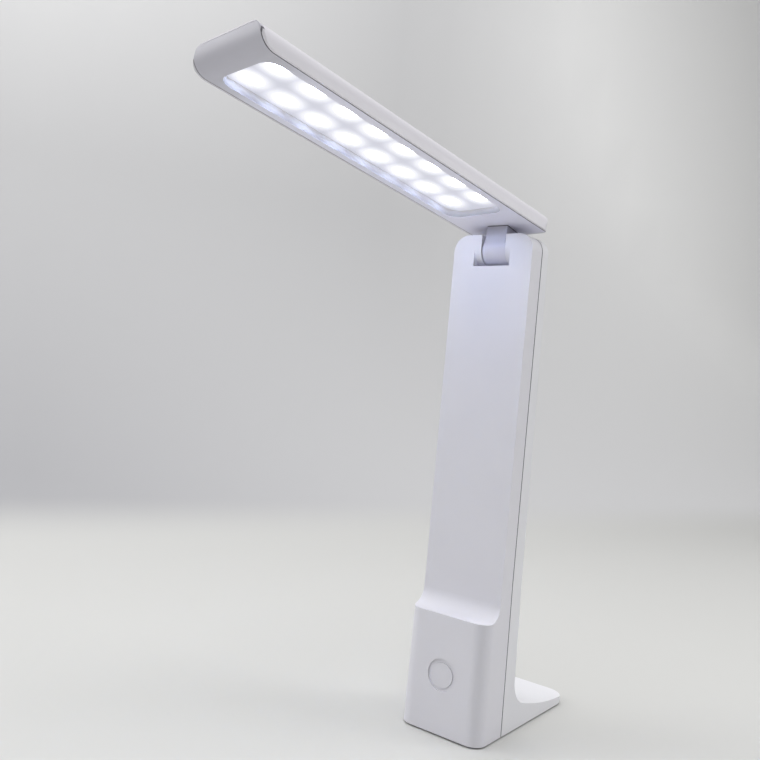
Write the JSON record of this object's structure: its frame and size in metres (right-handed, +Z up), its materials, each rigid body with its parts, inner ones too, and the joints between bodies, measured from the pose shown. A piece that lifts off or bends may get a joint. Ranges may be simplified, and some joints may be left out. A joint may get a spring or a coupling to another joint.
{
  "type": "folding LED desk lamp",
  "caption": "White folding LED desk lamp: slim column on a ledge-fronted base with a low foot, and a long flat head that folds and swivels.",
  "frame": {"origin": "centre of the base's footprint on the table", "axes": "+Z up along the column, -Y to the front with the button, +X to the right seen from the front, where the head's tip is turned 7 degrees towards -X"},
  "size_m": [0.0744, 0.279, 0.3249],
  "materials": {
    "shell": "satin",
    "shell_back": "satin",
    "base_plastic": "matte",
    "rubber": "matte",
    "screw_steel": "satin",
    "weight_steel": "matte",
    "pack_film": "gloss",
    "circuit_board": "satin",
    "switch_plastic": "matte",
    "button_plastic": "satin",
    "socket_steel": "polished",
    "clear_plastic": "clear",
    "hinge_steel": "satin",
    "neck_plastic": "satin",
    "head_shell": "satin",
    "head_lower": "satin",
    "diffuser_plastic": "frosted",
    "light_board": "satin",
    "light_source": "satin",
    "wire_cover": "satin"
  },
  "bodies": {
    "stand": {"front_shell": "shell", "rear_shell": "shell_back", "base_plate": "base_plastic", "foot_pad": "rubber", "base_screws": "screw_steel", "counterweight": "weight_steel", "battery_pack": "pack_film", "button_board": "circuit_board", "button_switch": "switch_plastic", "board_screws": "screw_steel", "charge_board": "circuit_board", "usb_socket": "socket_steel", "usb_tongue": "switch_plastic", "charge_indicator": "clear_plastic", "hinge_shaft": "hinge_steel", "hinge_nut": "hinge_steel", "hinge_washers": "hinge_steel", "column_wires": "wire_cover"},
    "button": {"power_button": "button_plastic", "switch_plunger": "switch_plastic"},
    "neck": {"knuckle": "neck_plastic", "swivel_washer": "hinge_steel", "swivel_nut": "hinge_steel"},
    "head": {"head_cover": "head_shell", "head_frame": "head_lower", "diffuser": "diffuser_plastic", "led_board": "light_board", "leds": "light_source", "head_wires": "wire_cover"}
  },
  "joints": [
    {"name": "head_fold", "type": "hinge", "parent": "stand", "child": "neck", "pos_m": [0, -0.03235, 0.2698], "axis": [1, 0, 0], "range_deg": [-8, 99.2]},
    {"name": "head_swivel", "type": "hinge", "parent": "neck", "child": "head", "pos_m": [0, -0.03235, 0.2698], "axis": [0, 0.1599, 0.9871], "range_deg": [-83, 97]},
    {"name": "button_press", "type": "slide", "parent": "stand", "child": "button", "axis": [0, 1, 0], "range_m": [0, 0.0006], "stiffness_N_per_m": 3000, "springref_m": -0.0004}
  ]
}
